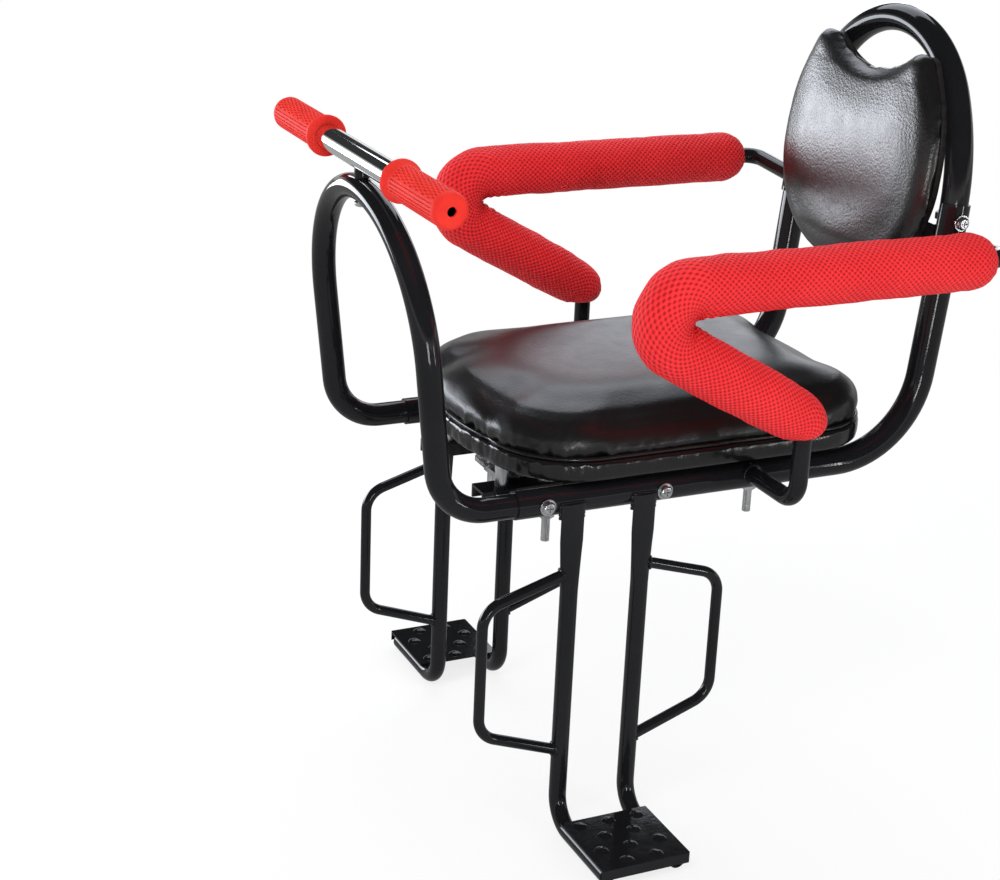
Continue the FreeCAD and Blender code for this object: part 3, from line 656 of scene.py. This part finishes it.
def gripPiece(name, sideSign):
    g = gripShape
    inner = g["end"] - g["length"]
    rowLength = (g["ribEnd"] - g["ribStart"]) / g["rows"]
    low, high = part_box("handlebar")
    axisY = (low.y + high.y) / 2
    axisZ = (low.z + high.z) / 2
    profile = gripProfile(inner, rowLength)
    mesh = bpy.data.meshes.new(name)
    mesh.from_pydata([(x, 0, r) for x, r in profile], [(k, k + 1) for k in range(len(profile) - 1)], [])
    piece = linkObject(name, mesh)
    makeActive(piece)
    bpy.ops.object.mode_set(mode="EDIT")
    bpy.ops.mesh.select_mode(type="VERT")
    bpy.ops.mesh.select_all(action="SELECT")
    bpy.ops.mesh.spin(steps=2 * g["ribs"], angle=2 * math.pi, center=(0, 0, 0), axis=(1, 0, 0))
    bpy.ops.mesh.select_all(action="SELECT")
    bpy.ops.mesh.remove_doubles(threshold=1e-6)
    bpy.ops.mesh.normals_make_consistent(inside=False)
    bpy.ops.mesh.select_mode(type="FACE")
    bpy.ops.mesh.select_all(action="DESELECT")
    bpy.ops.object.mode_set(mode="OBJECT")
    for face in piece.data.polygons:
        centre = face.center
        row = math.floor((centre.x - inner - g["ribStart"]) / rowLength)
        if math.hypot(centre.y, centre.z) < g["radius"] * g["outerShare"] or not 0 <= row < g["rows"]:
            continue
        rib = math.floor((math.atan2(centre.y, centre.z) / (2 * math.pi) + 1) * 2 * g["ribs"])
        onTop = centre.z > g["topShare"] * g["radius"]
        face.select = (rib + (row if onTop else 0)) % 2 == 0
    bpy.ops.object.mode_set(mode="EDIT")
    bpy.ops.mesh.inset(use_individual=False, thickness=g["ribInset"])
    bpy.ops.mesh.extrude_region_shrink_fatten(TRANSFORM_OT_shrink_fatten={"value": -g["ribHeight"]})
    bpy.ops.mesh.select_mode(type="VERT")
    bpy.ops.object.mode_set(mode="OBJECT")
    piece.data.transform(Matrix.Translation((0, axisY, axisZ)))
    if sideSign < 0:
        piece.data.transform(mirrorX)
    outward(piece)
    modifier = piece.modifiers.new("soft", "BEVEL")
    modifier.width = g["edgeWidth"]
    modifier.segments = 2
    modifier.limit_method = "ANGLE"
    modifier.angle_limit = math.radians(g["edgeAngle"])
    applyModifiers(piece)
    smooth(piece, 40)
    return piece


for word, sign in bothSides:
    grip = gripPiece("grip" + word, sign)
    finishPiece(grip, "grip_rubber", rubber, "grip_" + word.lower())
print("grips made")


# Seat piping

piping = {"height": 0.0598, "radius": 0.0019, "roundness": 2}


def makePiping():
    piece = copyNode("seat_cushion", "seatPiping")
    makeActive(piece)
    bpy.ops.object.mode_set(mode="EDIT")
    bpy.ops.mesh.select_all(action="SELECT")
    bpy.ops.mesh.bisect(plane_co=(0, 0, piping["height"]), plane_no=(0, 0, 1),
                        clear_inner=True, clear_outer=True)
    bpy.ops.object.mode_set(mode="OBJECT")
    bpy.ops.object.convert(target="CURVE")
    piece.data.bevel_depth = piping["radius"]
    piece.data.bevel_resolution = piping["roundness"]
    bpy.ops.object.convert(target="MESH")
    smooth(piece, 60)
    return piece


# Weld beads, made left and mirrored: rodEnds hold way out, height, tube radius and the rod's run in Y and Z

welds = {
    "radius": 0.0014, "roundness": 2, "lumps": 0.28, "lumpTurn": 2.4, "lumpScale": 500, "step": 0.0013,
    "tubeX": 0.14025, "rodRadius": 0.0054, "footYs": ((-0.121, -1), (-0.051, 1)),
    "rodEnds": ((0.009, -0.0454, 0.0091, 0.082, -0.025), (0.008, -0.2171, 0.008, -0.082, -0.03)),
    "railX": 0.1383, "flatHalf": 0.0113, "sideLowZ": 0.007, "sideHighZ": 0.0205, "topZ": 0.0212,
    "armEnd": (0.1372, 0.060, 0.024), "armRadius": 0.0084,
}


def weldBead(points, closed):
    w = welds
    curve = bpy.data.curves.new("weld", "CURVE")
    curve.dimensions = "3D"
    curve.bevel_depth = w["radius"]
    curve.bevel_resolution = w["roundness"]
    curve.use_fill_caps = True
    spline = curve.splines.new("POLY")
    spline.points.add(len(points) - 1)
    spline.use_cyclic_u = closed
    for k, (spot, point) in enumerate(zip(spline.points, points)):
        spot.co = (*point, 1)
        ripple = w["lumps"] * math.sin(w["lumpTurn"] * k)
        spot.radius = 1 + ripple + w["lumps"] * noise.noise(point * w["lumpScale"])
    piece = linkObject("weld", curve)
    makeActive(piece)
    bpy.ops.object.convert(target="MESH")
    return piece


def evenLine(start, end):
    count = max(2, round((end - start).length / welds["step"]))
    return [start.lerp(end, k / count) for k in range(count + 1)]


def ringRound(centre, u, v, radius):
    count = round(2 * math.pi * radius / welds["step"])
    angles = [2 * math.pi * k / count for k in range(count)]
    return [centre + (u * math.cos(angle) + v * math.sin(angle)) * radius for angle in angles]


# The ring round a rod, slid along the rod onto an upright tube
def ringOnTube(axis, tubeRadius, start, direction, radius):
    direction = direction.normalized()
    u = direction.cross(Vector((1, 0, 0))).normalized()
    run = direction.xy
    points = []
    for spot in ringRound(start, u, direction.cross(u), radius):
        flat = Vector((spot.x - axis[0], spot.y - axis[1]))
        a, b, c = run.dot(run), flat.dot(run), flat.dot(flat) - tubeRadius ** 2
        root = math.sqrt(max(b * b - a * c, 0.0))
        points.append(spot + direction * min((-b + root) / a, (-b - root) / a, key=abs))
    return points


def makeWelds():
    w = welds
    beads = []
    for y, way in w["footYs"]:
        for out, z, tubeRadius, runY, runZ in w["rodEnds"]:
            start = Vector((w["tubeX"], y + out * way, z))
            run = Vector((0, runY * way, runZ))
            ring = ringOnTube((w["tubeX"], y), tubeRadius, start, run, w["rodRadius"])
            beads.append(weldBead(ring, True))
        front, rear = y - w["flatHalf"], y + w["flatHalf"]
        for edge in (front, rear):
            low = Vector((w["railX"], edge, w["sideLowZ"]))
            beads.append(weldBead(evenLine(low, Vector((w["railX"], edge, w["sideHighZ"]))), False))
        corner = Vector((w["railX"], front, w["topZ"]))
        beads.append(weldBead(evenLine(corner, Vector((w["railX"], rear, w["topZ"]))), False))
    armAxis = Vector((1, 0, 0))
    u = armAxis.orthogonal().normalized()
    beads.append(weldBead(ringRound(Vector(w["armEnd"]), u, armAxis.cross(u), w["armRadius"]), True))
    piece = joinPieces("weldBeads", beads)
    modifier = piece.modifiers.new("otherSide", "MIRROR")
    modifier.use_mirror_merge = False
    applyModifiers(piece)
    smooth(piece, 60)
    return piece


finishPiece(makePiping(), "black_vinyl", bandVinyl)
finishPiece(makeWelds(), "black_paint", paint)
print("piping and welds made")


# Floor and surroundings

studio = {
    "floorSize": 40.0, "floorDrop": 0.0005, "floorTone": (0.92, 0.92, 0.92, 1), "floorRoughness": 0.9,
    "nearGlow": 0.8, "nearEnd": 0.6, "farStart": 1.6, "glossFloor": 0.4,
    "ambient": 0.55, "ceiling": 0.035, "away": (-0.9, 0.43, 0.0), "wallRise": 0.1,
    "darkFrom": 0.0, "darkTo": 0.16, "white": (1, 1, 1, 1),
}


def lightPathAny(tree, names):
    path = addNode(tree, "LightPath")
    total = path.outputs[names[0]]
    for name in names[1:]:
        node = addNode(tree, "Math", operation="MAXIMUM")
        tree.links.new(total, node.inputs[0])
        tree.links.new(path.outputs[name], node.inputs[1])
        total = node.outputs["Value"]
    return total


def mixNode(tree, factor, a, b):
    mix = addNode(tree, "Mix", data_type="FLOAT")
    tree.links.new(factor, mix.inputs["Factor"])
    feed(tree, a, mix.inputs["A"])
    feed(tree, b, mix.inputs["B"])
    return mix.outputs["Result"]


def softRange(tree, value, start, end, low, high):
    node = addNode(tree, "MapRange", interpolation_type="SMOOTHSTEP")
    node.inputs["From Min"].default_value = start
    node.inputs["From Max"].default_value = end
    node.inputs["To Min"].default_value = low
    node.inputs["To Max"].default_value = high
    tree.links.new(value, node.inputs["Value"])
    return node.outputs["Result"]


def makeFloor():
    low = cadBox[0][2]
    bpy.ops.mesh.primitive_plane_add(size=studio["floorSize"], location=(0, 0, low - studio["floorDrop"]))
    floor = bpy.context.active_object
    floor.name = "floor"
    makeActive(floor)
    bpy.ops.object.transform_apply(location=True, rotation=True, scale=True)
    material = bpy.data.materials.new("paleFloor")
    material.use_nodes = True
    tree = material.node_tree
    shader = tree.nodes["Principled BSDF"]
    shader.inputs["Base Color"].default_value = studio["floorTone"]
    shader.inputs["Roughness"].default_value = studio["floorRoughness"]
    glow = addNode(tree, "Emission")
    glow.inputs["Color"].default_value = studio["white"]
    seen = lightPathAny(tree, ("Is Camera Ray",))
    tree.links.new(mixNode(tree, seen, studio["glossFloor"], 1.0), glow.inputs["Strength"])
    coords = addNode(tree, "TexCoord")
    reach = addNode(tree, "VectorMath", operation="LENGTH")
    tree.links.new(coords.outputs["Object"], reach.inputs[0])
    fade = softRange(tree, reach.outputs["Value"], studio["nearEnd"], studio["farStart"],
                     studio["nearGlow"], 1.0)
    mirrored = lightPathAny(tree, ("Is Glossy Ray", "Is Transmission Ray"))
    mix = addNode(tree, "MixShader")
    tree.links.new(mixNode(tree, seen, mirrored, fade), mix.inputs["Fac"])
    tree.links.new(shader.outputs["BSDF"], mix.inputs[1])
    tree.links.new(glow.outputs["Emission"], mix.inputs[2])
    tree.links.new(mix.outputs["Shader"], tree.nodes["Material Output"].inputs["Surface"])
    floor.data.materials.append(material)


# Reflections see a pale wall low down, higher up on the side away from the camera, and a dark ceiling
def ceilingShade(tree):
    coords = addNode(tree, "TexCoord")
    split = addNode(tree, "SeparateXYZ")
    tree.links.new(coords.outputs["Generated"], split.inputs["Vector"])
    facing = addNode(tree, "VectorMath", operation="DOT_PRODUCT")
    tree.links.new(coords.outputs["Generated"], facing.inputs[0])
    facing.inputs[1].default_value = studio["away"]
    wall = addNode(tree, "Math", operation="MULTIPLY", use_clamp=True)
    wall.inputs[1].default_value = studio["wallRise"]
    tree.links.new(facing.outputs["Value"], wall.inputs[0])
    height = addNode(tree, "Math", operation="SUBTRACT")
    tree.links.new(split.outputs["Z"], height.inputs[0])
    tree.links.new(wall.outputs["Value"], height.inputs[1])
    return softRange(tree, height.outputs["Value"], studio["darkFrom"], studio["darkTo"],
                     1.0, studio["ceiling"])


def makeWorld():
    world = bpy.data.worlds.new("studio")
    bpy.context.scene.world = world
    world.use_nodes = True
    tree = world.node_tree
    back = tree.nodes["Background"]
    back.inputs["Color"].default_value = studio["white"]
    seen = lightPathAny(tree, ("Is Glossy Ray", "Is Transmission Ray"))
    reflected = mixNode(tree, seen, studio["ambient"], ceilingShade(tree))
    strength = mixNode(tree, lightPathAny(tree, ("Is Camera Ray",)), reflected, 1.0)
    tree.links.new(strength, back.inputs["Strength"])


# Lamps and camera

def softBox(name, place, target, size, power, inGloss=True, tint=(1, 1, 1)):
    lamp = bpy.data.lights.new(name, "AREA")
    lamp.color = tint
    lamp.shape = "RECTANGLE"
    lamp.size, lamp.size_y = size
    lamp.energy = power
    box = linkObject(name, lamp)
    box.location = place
    box.rotation_euler = (Vector(target) - Vector(place)).to_track_quat("-Z", "Y").to_euler()
    box.visible_camera = False
    box.visible_glossy = inGloss


cameraView = {"place": (1.537745, -0.855522, 0.672645), "yaw": 25.3398, "pitch": 20.6871, "roll": 2.4103,
              "lens": 71.312, "sensor": 36.0}


def makeCamera():
    yaw, pitch, roll = (math.radians(cameraView[key]) for key in ("yaw", "pitch", "roll"))
    ahead = Vector((-math.cos(yaw) * math.cos(pitch), math.sin(yaw) * math.cos(pitch), -math.sin(pitch)))
    right = Vector((math.sin(yaw), math.cos(yaw), 0))
    up = right.cross(ahead)
    turnedRight = right * math.cos(roll) + up * math.sin(roll)
    turnedUp = up * math.cos(roll) - right * math.sin(roll)
    turn = Matrix((turnedRight, turnedUp, -ahead)).transposed().to_4x4()
    data = bpy.data.cameras.new("view")
    data.sensor_fit = "HORIZONTAL"
    data.sensor_width = cameraView["sensor"]
    data.lens = cameraView["lens"]
    camera = linkObject("view", data)
    camera.matrix_world = Matrix.Translation(cameraView["place"]) @ turn
    bpy.context.scene.camera = camera


makeFloor()
makeWorld()
skyTint = (0.88, 0.92, 1.0)
seatMiddle = (0, 0, 0.1)
stripTarget = (0.1, 0.2, 0.2)
softBox("keyBox", place=(1.3, -1.5, 2.1), target=(0, 0, 0.15), size=(1.3, 1.0), power=29, inGloss=False)
softBox("frontBox", place=(-2.0, -1.35, 0.13), target=(0, 0.2, 0.25), size=(1.7, 0.66), power=36,
        tint=skyTint)
softBox("backBox", place=(-1.456, 1.058, 0.63), target=seatMiddle, size=(0.95, 0.48), power=4, tint=skyTint)
softBox("overBox", place=(-1.25, 0.46, 1.51), target=seatMiddle, size=(1.7, 1.05), power=17, tint=skyTint)
softBox("sideBox", place=(2.1, 1.1, 1.0), target=(0.1, 0.1, 0.1), size=(0.8, 0.8), power=8, inGloss=False)
softBox("stripNear", place=(1.9, -0.62, -0.02), target=stripTarget, size=(0.05, 0.5), power=3)
softBox("stripFar", place=(1.98, -0.44, -0.02), target=stripTarget, size=(0.05, 0.5), power=3)
softBox("stripRear", place=(1.9, 1.35, -0.02), target=stripTarget, size=(0.06, 0.5), power=3)
makeCamera()
bpy.context.scene.view_settings.view_transform = "Standard"
print("studio set")
